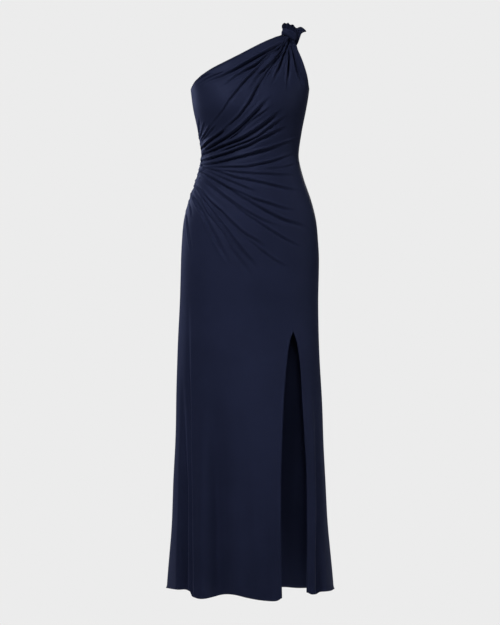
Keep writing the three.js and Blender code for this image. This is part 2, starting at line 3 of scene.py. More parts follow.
import bpy
import numpy as np
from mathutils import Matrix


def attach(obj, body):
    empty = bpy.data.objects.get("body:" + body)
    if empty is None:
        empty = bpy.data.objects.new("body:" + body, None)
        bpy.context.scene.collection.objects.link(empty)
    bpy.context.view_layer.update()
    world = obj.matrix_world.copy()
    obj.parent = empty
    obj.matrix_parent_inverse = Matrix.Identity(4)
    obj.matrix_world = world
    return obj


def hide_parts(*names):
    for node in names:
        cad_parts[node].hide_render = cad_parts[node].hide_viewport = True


# A long one-shoulder dress in satin-faced jersey, hollow and filled out as if worn.
# Sizes are millimetres until a mesh is made, and metres in the studio. The front looks towards -Y
# and the held shoulder is towards +X.

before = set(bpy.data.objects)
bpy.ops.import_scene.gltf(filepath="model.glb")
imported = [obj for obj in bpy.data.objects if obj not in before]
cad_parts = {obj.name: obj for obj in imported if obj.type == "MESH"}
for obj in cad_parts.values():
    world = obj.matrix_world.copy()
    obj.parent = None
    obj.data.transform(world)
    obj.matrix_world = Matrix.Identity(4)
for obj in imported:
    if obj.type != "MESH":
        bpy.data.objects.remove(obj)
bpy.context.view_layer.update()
print("frame loaded")

millimetre = 0.001


# Small helpers for shapes

# Linear mix of a and b.
def mix(a, b, share):
    return a + (b - a) * share


# Smooth step: 0 below low, 1 above high, and 3t^2 - 2t^3 between them.
def smoothStep(x, low, high):
    t = np.clip((x - low) / (high - low), 0, 1)
    return t * t * (3 - 2 * t)


# Cubic Hermite curve through named places: each knot's slope is the rise between its two neighbours
# over their distance, and past the ends the value stays.
def curveThrough(at, value):
    at, value = np.asarray(at, float), np.asarray(value, float)
    if at[0] > at[-1]:
        at, value = at[::-1], value[::-1]
    low = np.maximum(np.arange(len(at)) - 1, 0)
    high = np.minimum(np.arange(len(at)) + 1, len(at) - 1)
    slope = (value[high] - value[low]) / (at[high] - at[low])

    def curve(x):
        x = np.clip(x, at[0], at[-1])
        i = np.clip(np.searchsorted(at, x, side="right") - 1, 0, len(at) - 2)
        step = at[i + 1] - at[i]
        t = (x - at[i]) / step
        return ((2 * t**3 - 3 * t**2 + 1) * value[i] + (t**3 - 2 * t**2 + t) * step * slope[i]
                + (3 * t**2 - 2 * t**3) * value[i + 1] + (t**3 - t**2) * step * slope[i + 1])
    return curve


# Place on a smooth path through points, at a share of the length of the straight lines between them.
def pathThrough(points):
    points = np.asarray(points, float)
    along = np.concatenate([[0], np.cumsum(np.linalg.norm(np.diff(points, axis=0), axis=1))])
    curves = [curveThrough(along / along[-1], points[:, k]) for k in range(points.shape[1])]
    return lambda share: np.stack([curve(share) for curve in curves], -1)


# Scales vectors to length 1.
def unit(v):
    return v / np.maximum(np.linalg.norm(v, axis=-1, keepdims=True), 1e-9)


# The filled form, the same as the solids'

dressForm = {
    "centreX": -109.0,  # middle of the dress from the held shoulder
    "fullness": 0.9,  # under 1 makes a level section squarer than an ellipse
    "viewDistance": 5600.0,  # front elevation sizes are read from this far away
    "viewHeight": -711.5,
    "underarm": -115.0,
    "hip": -620.0,
    "sections": [  # height, width left, width right, depth front, depth back, seam's y
        (70, 186, 186, 60, 60, 0), (0, 180, 180, 84, 72, 0), (-60, 164, 167, 96, 84, 0),
        (-121, 158, 161.5, 111, 95, 0), (-169, 151.5, 153.5, 114, 98, 0),
        (-222, 139.5, 142, 104, 93, 0), (-276, 130, 133.5, 92, 85, 0),
        (-303, 130, 133.5, 90, 85, 1), (-356, 143.5, 147, 94, 97, 3),
        (-410, 162, 165.5, 99, 113, 5), (-464, 175.5, 178.5, 103, 123, 7),
        (-517, 181, 184, 106, 127, 9), (-571, 184, 187, 108, 127, 12),
        (-691, 187, 185.5, 110, 124, 20), (-812, 193, 189, 114, 122, 30),
        (-1026, 200, 199, 124, 122, 48), (-1268, 210, 212, 136, 126, 70),
        (-1500, 228, 234, 146, 132, 92)],
    "cupAcross": 82, "cupHeight": -156, "cupWide": 46, "cupTall": 50, "cupRise": 7,
    "shoulderAcross": 108, "shoulderHeight": 9, "shoulderSlope": -0.48, "neckAcross": 52,
    "shoulderDrop": [  # drop below the shoulder line, most depth front, most depth back
        (-60, 2, 2), (-10, 2.2, 2.2), (0, 5, 5), (12, 21, 20), (30, 45, 41), (60, 77, 67),
        (110, 106, 94), (220, 200, 180)],
}
sectionTable = np.array(dressForm["sections"], float)
leftWidth, rightWidth, frontDepth, backDepth, seamY = (
    curveThrough(sectionTable[:, 0], sectionTable[:, k]) for k in range(1, 6))
dropTable = np.array(dressForm["shoulderDrop"], float)
frontDrop, backDrop = (curveThrough(dropTable[:, 0], dropTable[:, k]) for k in (1, 2))


# The plain form: across is half a width times the sine of the angle, and the depth is the section's
# depth times a power of the cosine, with two bells for the bust, held under the shoulder's depth by
# the fourth-power mean. Angle 0 is the front's middle and a quarter turn the seam on +X.
def formPoint(angle, z):
    form = dressForm
    sine, cosine = np.sin(angle), np.cos(angle)
    inFront = cosine >= 0
    across = np.where(sine < 0, leftWidth(z), rightWidth(z)) * sine
    seam = seamY(z)
    full = np.abs(cosine) ** form["fullness"]
    out = np.maximum(np.abs(across), form["neckAcross"]) - form["shoulderAcross"]
    drop = form["shoulderHeight"] + form["shoulderSlope"] * out - z
    cup = form["cupRise"] * full * np.exp(
        -((np.abs(across) - form["cupAcross"]) / form["cupWide"]) ** 2
        - ((z - form["cupHeight"]) / form["cupTall"]) ** 2)
    depth = np.where(inFront, full * (frontDepth(z) + seam) + cup, full * (backDepth(z) - seam))
    most = np.where(inFront, frontDrop(drop), backDrop(drop))
    depth = depth * most / (depth**4 + most**4) ** 0.25
    y = seam + np.where(inFront, -depth, depth)
    return np.stack([form["centreX"] + across, y, z + 0 * across], -1)


# Outward normal of the plain form: the cross product of short steps round it and up it.
def formNormal(angle, z):
    turn, rise = 0.01, 2.0
    around = formPoint(angle + turn, z) - formPoint(angle - turn, z)
    up = formPoint(angle, z + rise) - formPoint(angle, z - rise)
    return unit(np.cross(around, up))


# Angle on the form of a place so far across from its middle: the arc sine of its share of the width.
def angleAcross(across, z, inFront):
    half = np.where(across < 0, leftWidth(z), rightWidth(z))
    angle = np.arcsin(np.clip(across / half, -1, 1))
    return angle if inFront else math.pi - angle


# Angle and height on the form of a place in front elevation, by four passes of perspective: a place
# nearer than the shoulder's plane looks larger by its nearness. The back is read straight on.
def fromElevation(across, z, inFront):
    across, z = np.asarray(across, float), np.asarray(z, float)
    nearness = np.ones_like(across)
    viewHeight = dressForm["viewHeight"]
    for _ in range(4):
        height = viewHeight + (z - viewHeight) * nearness
        angle = angleAcross(across * nearness, height, inFront)
        if inFront:
            nearness = 1 + formPoint(angle, height)[..., 1] / dressForm["viewDistance"]
    return angle, height


# Folds

# Each fold is placed on a chart of the front elevation: across from the dress's middle and
# height over the strap's foot, in squares of so many millimetres. A row is the valley's half width,
# its depth and the crest in millimetres, and the chart's places. Crest is the height of the roll
# beside the valley, above a level fold and to the right of an upright one where positive, and on the
# other side where negative. For a whole group, growth is the strength at the start, the share of the
# path by which it is full, the strength at the end, and the share over which it fades to that. Spread
# is what the width is times at the start and the end, sharp how much of a sharp valley is mixed with
# a round one, and narrow, deepen and raise are factors on the rows where given. Limit is the deepest
# place.
shoulderFan = {
    "square": 2.68, "front": True,
    "growth": (0.5, 0.12, 0.0, 0.6), "spread": (0.6, 1.05), "sharp": 0.75, "deepen": 1.25,
    "narrow": 0.78, "raise": 1.5, "limit": 12.5,
    "folds": [
        (5, 8, 3, [(35, 5), (29, 2), (22, -2), (12, -7.5), (0, -14.5), (-10, -20.2),
         (-20, -25.8), (-30, -30.5), (-40, -34.5), (-47, -39), (-50, -44)]),
        (4, 1.6, 1.4, [(-25, -25), (-40, -31), (-53, -39)]),
        (4, 1.4, 1.2, [(-40, -27), (-47, -30.5), (-52, -34.5)]),
        (5, 7, 3, [(38.5, 7), (36, 4.5), (33, 2), (28, -1.5), (21, -5.5), (14, -11.5),
         (8, -17), (-3, -23.2), (-14, -30.2), (-25, -38.5), (-33, -45)]),
        (4, 5, 3.4, [(38, 6), (33, 1.5), (26, -4), (20, -8.5), (13, -15.5), (6, -23.5),
         (-1, -30.5), (-8, -38), (-14, -46), (-19.5, -53), (-26.5, -64), (-34.5, -74), (-40, -82),
         (-46, -91)]),
        (4.8, 8, 3.8, [(39, 7.5), (36.8, 3.5), (33.8, 0), (31, -5), (27.7, -9.6), (23.5, -15),
         (19.4, -19.1), (14.5, -23.5), (10.5, -27), (3.9, -36.8), (-1.7, -45.7)]),
        (4.5, 5.4, 3.8, [(38.5, 4), (35, -3), (28, -12), (20, -21.5), (12, -33), (6, -44), (1, -54),
         (-4, -61), (-9, -68), (-16, -75), (-23, -81), (-30, -87), (-42, -97)]),
        (4, 8.5, 3.6, [(39.3, 8), (37.8, 0), (36, -5), (33.8, -9), (30.5, -19), (27, -27),
         (24.9, -32.4), (21.5, -40)]),
        (4.4, 9, -3.8, [(39.6, 8), (39.6, -3), (39.6, -13), (39, -25), (38, -38), (37, -46)]),
        (4, 8.4, -3.2, [(40.5, 7.5), (42, 0), (43, -4), (45, -13), (48, -25), (51, -33),
         (54, -42)]),
        (3.2, 9, 2.4, [(42, 6), (44, 0), (46.6, -11), (49.5, -22), (52.5, -31), (56, -42)]),
    ],
}
sideGathers = {
    "square": 2.68, "front": True,
    "growth": (0.0, 0.3, 0.6, 0.14), "spread": (1.1, 0.72), "sharp": 0.75, "deepen": 1.02,
    "narrow": 0.78, "raise": 1.05, "limit": 9.0,
    "folds": [
        (6, 7, 4.8, [(23, -48), (12, -60), (3, -69), (-5, -77), (-12, -83), (-20, -89),
         (-30, -95), (-42, -102)]),
        (3.6, 3.4, 2.8, [(26, -57), (15, -65), (5, -72), (-2, -78), (-12, -87), (-25, -96)]),
        (5.7, 8.5, 4.6, [(35, -61), (27, -68), (18, -75), (10, -81), (0, -87.5), (-10, -93),
         (-20, -97), (-38, -104), (-46, -107)]),
        (4.3, 5, 3.6, [(40, -68), (30, -74), (20, -81), (10, -89), (0, -94), (-12, -98.5),
         (-30, -105)]),
        (4.8, 8.5, 4.4, [(40, -80), (30, -83.5), (20, -88), (10, -93), (0, -98.5), (-10, -102),
         (-20, -106), (-30, -109), (-42, -112.5), (-48, -114)]),
        (3.8, 2.2, 2.2, [(50, -92), (40, -95), (30, -98), (18, -101.5), (8, -104)]),
        (4.8, 7.5, 4.2, [(35, -98), (20, -102.5), (10, -105), (0, -108), (-10, -110.5), (-20, -113),
         (-30, -115.5), (-40, -117.3), (-48, -118.3)]),
        (4, 5.2, 3.4, [(47, -106), (40, -109), (30, -112.5), (20, -115.5), (10, -117.5),
         (0, -119.5), (-10, -120.2), (-30, -120.5), (-46, -120.2)]),
        (3.6, 2, 1.8, [(47, -117), (38, -119.5), (30, -121), (18, -122)]),
        (4.5, 3.6, 2.8, [(50, -128.5), (30, -128.3), (20, -127.6), (10, -127), (-7, -126),
         (-25, -124), (-46, -121.5)]),
        (4.8, 5, 3.6, [(55, -145), (45, -143.5), (35, -141.5), (25, -139), (15, -136.5),
         (5, -134.5), (-5, -132.5), (-15, -130.5), (-25, -127), (-35, -124), (-47, -121)]),
        (4.2, 4.4, 3.2, [(10, -146), (0, -142.5), (-8, -139), (-15, -136), (-25, -132),
         (-35, -127.5), (-46, -123)]),
        (4.8, 5, 3.6, [(50, -164.5), (40, -163), (30, -160.5), (20, -157), (10, -154), (0, -150.5),
         (-7, -147), (-20, -141), (-35, -132), (-48, -125)]),
        (5.2, 7, 4.4, [(62, -183), (55, -180), (45, -176.5), (35, -173.5), (25, -169),
         (15, -163.5), (5, -158), (-2, -153), (-10, -149), (-20, -142.5), (-30, -137), (-40, -131),
         (-50, -125)]),
        (4, 5.2, 3.2, [(35, -182), (25, -178), (15, -174), (5, -169), (-5, -163), (-15, -156),
         (-25, -148.5), (-33, -142), (-42, -135), (-51, -128)]),
        (3.7, 5.8, 4.2, [(57, -202), (47, -198), (37, -193), (27, -187), (17, -180.5), (7, -174),
         (-3, -167.5), (-13, -160), (-23, -152), (-35, -143), (-50, -131)]),
        (5.2, 8, 4.8, [(20, -203), (12, -198), (5, -193), (-3, -188.5), (-10, -183), (-17, -176.5),
         (-23, -170.5), (-28, -165), (-35, -159), (-42, -152), (-47, -145), (-54, -135)]),
        (3.7, 4.6, 3.6, [(42, -222), (30, -216), (20, -209.5), (12, -203), (5, -197), (-4, -191),
         (-14, -183)]),
        (4.8, 4.8, 3.2, [(5, -233), (0, -225), (-6, -217), (-12, -209), (-18, -201), (-22, -193),
         (-28, -184), (-35, -175), (-43, -165), (-50, -152), (-57, -139)]),
        (5, 7, 4.4, [(12, -226), (7, -220), (2, -214), (-4, -207), (-10, -200), (-16, -192),
         (-22, -184), (-32, -171), (-42, -158), (-54, -143)]),
        (5, 6.5, -3.8, [(-19, -219), (-24, -210), (-30, -200), (-35, -190), (-40, -181),
         (-45, -170), (-51, -160), (-58, -146)]),
        (4.5, 2.4, -1.6, [(-57, -207), (-60, -192), (-62, -176), (-63, -163)]),
        (4, 2, -1.4, [(-57, -170), (-59, -160), (-60.5, -150)]),
        (3.2, 2.8, 1.6, [(-50, -70), (-50.5, -83), (-50, -92), (-49, -98)]),
        (3.2, 2.8, 1.8, [(-44, -74), (-47, -83), (-49, -90)]),
        (3.4, 3, 2, [(-38, -77), (-42, -84), (-48, -93)]),
        (3.4, 3, 2, [(-32, -77), (-38, -84), (-47, -94)]),
        (4.5, 5.5, 3.2, [(-22, -82), (-32, -89), (-40, -94.5), (-48, -102)]),
        (3.2, 4, 2.6, [(-30, -97), (-38, -100.5), (-47, -105)]),
        (3, 3.6, 2.4, [(-30, -102), (-38, -104.5), (-47, -108.5)]),
        (3, 3.2, 2.2, [(-34, -106), (-41, -108), (-48, -111)]),
    ],
}
skirtFall = {
    "square": 1.0, "front": True,
    "growth": (0.0, 0.8, 1.0, 0.15), "spread": (0.7, 1.0), "sharp": 0.0, "limit": 90.0,
    "folds": [
        (12, 28, -1, [(-179, -840), (-180, -1100), (-182, -1300), (-184, -1480)]),
        (25, 32, -9, [(-94, -860), (-92, -1200), (-88, -1480)]),
        (12, 18, -6, [(172, -860), (184, -1170), (187, -1480)]),
        (22, 8, 3, [(-20, -1000), (-8, -1250), (2, -1480)]),
        (16, 6, 4, [(30, -1050), (38, -1250), (42, -1480)]),
    ],
}
skirtLine = {
    "square": 1.0, "front": True,
    "growth": (0.0, 0.5, 1.0, 0.15), "spread": (1.0, 1.0), "sharp": 0.6, "limit": 90.0,
    "folds": [
        (6.5, 9, 3, [(-163, -640), (-162.5, -860), (-160.5, -1080), (-158, -1280), (-155.5, -1480)]),
    ],
}
backFan = {
    "square": 1.0, "front": False,
    "growth": (0.5, 0.16, 0.0, 0.5), "spread": (0.6, 1.1), "sharp": 0.7, "deepen": 1.15,
    "narrow": 0.9, "limit": 10.0,
    "folds": [
        (6.5, 7, 4, [(74, 14), (40, -12), (0, -42), (-50, -76), (-104, -104)]),
        (4.6, 4.2, 3, [(84, 6), (50, -26), (10, -66), (-34, -104)]),
        (6, 7, -3.8, [(92, 2), (60, -40), (22, -86), (-22, -128), (-62, -156)]),
        (4.4, 4, 3, [(98, -2), (78, -44), (54, -92), (26, -136), (-10, -182)]),
        (5, 6.4, 3.4, [(101, -2), (88, -52), (68, -100), (44, -146)]),
        (4.6, 6.6, -3.4, [(106, -2), (100, -54), (92, -104), (84, -140)]),
        (4.4, 5.6, 3.2, [(111, -3), (112, -44), (111, -84), (108, -124)]),
        (3.6, 3.8, -2.6, [(117, -4), (122, -40), (129, -78), (136, -108)]),
    ],
}
backGathers = {
    "square": 1.0, "front": False,
    "growth": (0.0, 0.3, 0.6, 0.14), "spread": (1.1, 0.72), "sharp": 0.7, "deepen": 1.15,
    "narrow": 0.85, "limit": 9.0,
    "folds": [
        (6, 6.4, 4.4, [(70, -168), (20, -204), (-34, -236), (-84, -262), (-126, -284)]),
        (4.2, 3.8, 3, [(34, -172), (-10, -208), (-60, -240), (-128, -276)]),
        (5.2, 6.4, 4.2, [(98, -232), (40, -258), (-16, -278), (-72, -292), (-132, -303)]),
        (4.2, 3.8, 3, [(86, -272), (30, -286), (-30, -300), (-132, -312)]),
        (4.8, 5.4, 3.6, [(112, -312), (56, -318), (0, -321), (-66, -321), (-134, -320)]),
        (4.2, 3.6, 2.8, [(96, -352), (40, -350), (-20, -341), (-76, -332), (-135, -325)]),
        (5.2, 6.2, 4.2, [(120, -404), (60, -392), (4, -374), (-66, -350), (-137, -331)]),
        (4.2, 4, 3, [(88, -428), (30, -410), (-26, -388), (-84, -360), (-140, -336)]),
        (5.4, 7, 4.6, [(104, -496), (50, -472), (-8, -440), (-72, -398), (-144, -344)]),
        (4.2, 4.2, 3.2, [(58, -520), (8, -490), (-46, -450), (-96, -408), (-150, -356)]),
        (5, 6.2, 4.2, [(30, -566), (-14, -532), (-60, -488), (-108, -432), (-156, -368)]),
        (4.6, 4.6, -3.2, [(-40, -570), (-78, -520), (-112, -466), (-140, -420), (-162, -386)]),
        (4, 2.6, -2, [(-104, -560), (-130, -506), (-150, -450), (-166, -402)]),
    ],
}
backFall = {
    "square": 1.0, "front": False,
    "growth": (0.0, 1.15, 1.0, 0.15), "spread": (0.6, 1.0), "sharp": 0.0, "limit": 90.0,
    "folds": [
        (38, 24, 0, [(-110, -760), (-118, -1100), (-124, -1480)]),
        (42, 28, 0, [(10, -800), (4, -1150), (-4, -1480)]),
        (36, 24, 0, [(118, -760), (128, -1100), (136, -1480)]),
        (16, 6, 4, [(-60, -980), (-62, -1200), (-66, -1480)]),
        (16, 6, 4, [(70, -1000), (74, -1220), (78, -1480)]),
    ],
}


foldPath = {
    "step": 11.0, "fewest": 10, "most": 46,  # length of a path's steps, and how many it may have
    "facing": 60.0,  # outwards is so far forwards or back, and as far across as the fold's middle
    "upright": 0.35,  # a crest's direction that rises less than this is read as left or right
}


# Folds ready to be measured against: a path of short steps on the plain form, and the side on
# which the crest lies.
def readyFolds(group):
    made = []
    facing = -foldPath["facing"] if group["front"] else foldPath["facing"]
    for wide, deep, crest, chart in group["folds"]:
        length = np.linalg.norm(np.diff(np.array(chart, float), axis=0), axis=1).sum()
        steps = length * group["square"] / foldPath["step"]
        count = int(np.clip(steps, foldPath["fewest"], foldPath["most"]))
        places = pathThrough(chart)(np.linspace(0, 1, count + 1)) * group["square"]
        angle, height = fromElevation(places[:, 0], places[:, 1], group["front"])
        path = formPoint(angle, height)
        middle = len(path) // 2
        along = unit(path[middle + 1] - path[middle - 1])
        outward = np.array([path[middle, 0] - dressForm["centreX"], facing, 0])
        across = unit(np.cross(along, outward))
        upward = across[2] if abs(across[2]) > foldPath["upright"] else across[0]
        made.append({"wide": wide * group.get("narrow", 1), "deep": deep * group.get("deepen", 1),
                     "crest": crest * group.get("raise", 1), "path": path,
                     "turn": -1.0 if upward < 0 else 1.0,
                     **{k: group[k] for k in ("growth", "spread", "sharp")}})
    return made


foldGroups = [(readyFolds(group), group["limit"]) for group in (
    shoulderFan, sideGathers, skirtFall, skirtLine, backFan, backGathers, backFall)]
foldShape = {  # in half widths of the valley
    "tail": 1.55,  # what its width is times on the far side
    "crestAt": 1.5, "crestWide": 0.95,  # the crest's place and half width
    "reach": 4.2,  # nothing changes further away than this
    "steep": 1.6, "bottom": 0.3,  # a sharp valley's slope and its bottom's roundness
}
print("folds ready")


# Height of all folds over the plain form. q is the distance from the nearest place on the fold's
# path over its half width, positive on the crest's side: the valley is a bell in q, drawn out on
# its far side, and the crest a second bell beside it. Both grow and fade along the path.
def foldHeight(folds, point, normal):
    shape = foldShape
    height = np.zeros(len(point))
    for fold in folds:
        path = fold["path"]
        reach = shape["reach"] * fold["wide"]
        inside = ((point > path.min(0) - reach) & (point < path.max(0) + reach)).all(1)
        near = np.flatnonzero(inside)
        if not len(near):
            continue
        run = np.diff(path, axis=0)
        offset = point[near, None] - path[None, :-1]
        t = np.clip((offset * run).sum(2) / (run * run).sum(1), 0, 1)
        offset = offset - t[..., None] * run
        away = np.linalg.norm(offset, axis=2)
        k = away.argmin(1)
        rows = np.arange(len(near))
        side = np.sign((np.cross(run[k], normal[near]) * offset[rows, k]).sum(1)) * fold["turn"]
        share = (k + t[rows, k]) / len(run)
        start, grown, end, ends = fold["growth"]
        strength = (mix(start, 1, smoothStep(share, 0, grown))
                    * mix(end, 1, smoothStep(1 - share, 0, ends)))
        q = side * away[rows, k] / (fold["wide"] * mix(fold["spread"][0], fold["spread"][1], share))
        sign = 1 if fold["crest"] >= 0 else -1
        far = np.where(q * sign < 0, q / shape["tail"], q)
        soft = shape["bottom"]
        sharp = np.exp(-shape["steep"] * (np.sqrt(far * far + soft * soft) - soft))
        valley = mix(np.exp(-far * far), sharp, fold["sharp"])
        height[near] -= fold["deep"] * strength * valley
        height[near] += abs(fold["crest"]) * strength * np.exp(
            -((q - sign * shape["crestAt"]) / shape["crestWide"]) ** 2)
    return height


# All folds. Where the valleys of one group run together they get no deeper than its limit: the limit
# times the hyperbolic tangent of their sum over it.
def allFolds(point, normal):
    total = np.zeros(len(point))
    for folds, limit in foldGroups:
        height = foldHeight(folds, point, normal)
        total += np.where(height < 0, limit * np.tanh(height / limit), height)
    return total


cloth = {
    "thickness": 1.3,
    "gather": 1.5,  # flat width over worn width
    "seamPull": 1.3, "seamWide": 4.0,  # how far a side seam is pulled in, and how wide
    "depthShare": 0.8,  # depth over width, to tell how far away a side seam is
    "edgeTurn": 1.9, "edgeWide": 4.4,  # how far a cut edge turns in, and how wide
    "strapFree": 40.0, "seamFree": 8.0, "seamFade": 9.0,  # no edge turns in at the strap or a seam
    "waver": 0.5, "skirtWaver": 1.6, "skirtDrop": (620, 1100),  # slow waves, to full in the skirt
    "waves": [(7.0, 61.0, 0.0), (4.1, -37.0, 1.3), (11.3, 93.0, 2.1)],  # round it, down it, start
}


# The cloth's outer face: the plain form moved along its normal by the folds, by the mean of three
# slow sine waves, and pulled in along each side seam by a bell. Gives the points and their heights.
def clothOverForm(angle, z):
    shape = np.broadcast(angle, z).shape
    angle, z = (np.broadcast_to(v, shape).ravel().astype(float) for v in (angle, z))
    point, normal = formPoint(angle, z), formNormal(angle, z)
    waver = sum(np.sin(angle * turns + z / fall + start) for turns, fall, start in cloth["waves"])
    waver = waver / len(cloth["waves"])
    height = allFolds(point, normal)
    height += waver * mix(cloth["waver"], cloth["skirtWaver"], smoothStep(-z, *cloth["skirtDrop"]))
    half = np.where(np.sin(angle) < 0, leftWidth(z), rightWidth(z))
    seamAway = np.abs(np.cos(angle)) * half * cloth["depthShare"]
    height -= cloth["seamPull"] * np.exp(-(seamAway / cloth["seamWide"]) ** 2)
    return (point + normal * height[:, None]).reshape(shape + (3,)), height.reshape(shape)


# The gathered shoulder

knot = {
    "x": -1.0, "top": 44.5, "topSlope": -0.36,  # the band's middle and upper edge
    "halfWidth": 15.9, "halfDepth": 8.0,  # the oval inside the band
    "fit": 0.45,  # the gathered ends are this much smaller
    "strapTurn": math.radians(78),  # how far round the oval each end goes
    "strapInBand": 6.0, "cornerDrop": 3.0,  # how far the ends go in, and their corners hang out
    "strapBlend": (7.0, 26.0), "foldsFrom": (5.0, 17.0),  # drops over which form and folds set in
    "pleats": 6.5, "pleatDeep": 0.8,
    "lowEdge": [(-24, 34), (-17, 34), (-8, 28), (4, 20), (11, 17), (18, 19), (22, 20)],
}
bandLowEdge = curveThrough(*zip(*knot["lowEdge"]))


# The band's upper edge slopes down towards the arm.
def bandTopEdge(x):
    return knot["top"] + knot["topSlope"] * (x - knot["x"])


# The gathered end of a panel in the band: part of an oval whose half sizes are drawn in by pleats.
def strapPoint(turn, z, inFront):
    wave = 0.5 + 0.5 * np.cos(turn / knot["strapTurn"] * math.pi * knot["pleats"])
    squeeze = knot["pleatDeep"] * wave
    halfWidth = knot["halfWidth"] - knot["fit"] - squeeze * np.abs(np.sin(turn))
    depth = (knot["halfDepth"] - knot["fit"] - squeeze) * np.cos(turn)
    return np.stack([knot["x"] + halfWidth * np.sin(turn), -depth if inFront else depth,
                     z + 0 * turn], -1)


# Height at which a gathered end stops, inside the band.
def strapEnd(turn):
    across = (knot["halfWidth"] - knot["fit"]) * np.sin(turn)
    return bandLowEdge(knot["x"] + across) + knot["strapInBand"]


# Panels

# A panel is laid out in even columns from seam to seam: so many in all, on the neckline and in the
# strap, with the slit at one of them. Fine says how many grid columns go on the neckline, the corner,
# the strap, the corner and the armhole, and rows how many go down to the level, the hip, the slit's
# top and the hem. At spreadTo the columns stand evenly. Flat size and area are metres.
frontPanel = {
    "name": "frontPanel", "node": "front_panel", "front": True,
    "columns": 44, "neck": 14, "strap": 12, "slit": 30, "fine": (60, 12, 40, 8, 38),
    "rows": (108, 120, 12, 54), "level": -240.0, "spreadTo": -340.0,
    "neckline": [(-158, -116), (-154, -106), (-144, -90.5), (-113, -65.4), (-62, -38), (-8, -11),
                 (35, 10.5), (66, 24), (85, 31.5)],
    "armhole": [(126, 4), (129.5, -8), (141, -35), (149.5, -62), (156, -88), (159, -103),
                (161.5, -115)],
    "hem": [(-224, -1449), (-193, -1454), (-174, -1453), (-160, -1458), (-154, -1470),
            (-138, -1477.5), (-122, -1478.5), (-99, -1474.5), (-72, -1468.5), (-54, -1467),
            (-35, -1469), (-8, -1476), (24, -1482), (56, -1485), (75, -1483.5), (88, -1476),
            (153, -1461.5), (167, -1467), (180, -1465), (188, -1460), (204, -1459),
            (219, -1456.5), (227, -1451)],
    "flat": (0.74, 1.56), "area": 0.80,
}
backPanel = {
    "name": "backPanel", "node": "back_panel", "front": False,
    "columns": 26, "neck": 8, "strap": 8, "slit": None, "fine": (36, 5, 34, 5, 30),
    "rows": (84, 96, 10, 42), "level": -240.0, "spreadTo": -340.0,
    "neckline": [(-158, -115), (-152, -103), (-132, -88), (-100, -70), (-55, -48), (0, -22),
                 (45, 5), (70, 21), (85, 29.5)],
    "armhole": [(123.4, 2), (126, -10), (134, -34), (143, -62), (152, -88), (157, -103),
                (161.5, -115)],
    "flat": (0.70, 1.54), "area": 0.72,
}
cornerColumns = 2  # even columns between the strap and the neckline or the armhole
panelRows = {
    "crowding": 1.2,  # rows crowd towards the top by this power
    "last": (16.0, 10.0, 6.0, 3.0, 1.2, 0.0),  # the last rows' heights over the hem,
    "skirtRun": 700.0,  # on about this much skirt under the slit's top
}
slitOpening = {
    "lips": [  # height, left lip, right lip, in front elevation
        (-762, 117, 117), (-789, 108, 126.5), (-858, 98.6, 136.4), (-954, 91.7, 141.8),
        (-1053, 87.6, 147.7), (-1155, 84.4, 154.1), (-1300, 84.4, 154.4), (-1500, 88, 153)],
    "nearness": 1.022,  # how much larger the slit looks than at the shoulder's plane
    "backHem": -1462.0,
}
slitTopAngle, slitTopZ = (float(v) for v in fromElevation(
    slitOpening["lips"][0][1], slitOpening["lips"][0][0], True))
lipTable = np.array(slitOpening["lips"], float)
slitLeft, slitRight = (curveThrough(lipTable[:, 0], lipTable[:, k]) for k in (1, 2))
hemCurve = curveThrough(*zip(*frontPanel["hem"]))


# Angles of the slit's two lips at a height; over its top both are the top's own angle.
def slitAngles(z):
    viewHeight = dressForm["viewHeight"]
    elevation = viewHeight + (z - viewHeight) * slitOpening["nearness"]
    below = z < slitTopZ
    left = fromElevation(slitLeft(elevation), elevation, True)[0]
    right = fromElevation(slitRight(elevation), elevation, True)[0]
    return np.where(below, left, slitTopAngle), np.where(below, right, slitTopAngle)


# Even spread of the columns from the seam on -X to the seam on +X, with the slit at its own column.
def evenAngle(column, z, panel, rightLip):
    if not panel["front"]:
        return 1.5 * math.pi - math.pi * column / panel["columns"] + 0 * z
    left, right = slitAngles(z)
    slit, columns = panel["slit"], panel["columns"]
    quarter = math.pi / 2
    onLeft = mix(-quarter, left, column / slit)
    onRight = mix(right, quarter, (column - slit) / (columns - slit))
    return onRight if rightLip else onLeft


# The strap's first and last even column.
def strapColumns(panel):
    start = panel["neck"] + cornerColumns
    return start, start + panel["strap"]


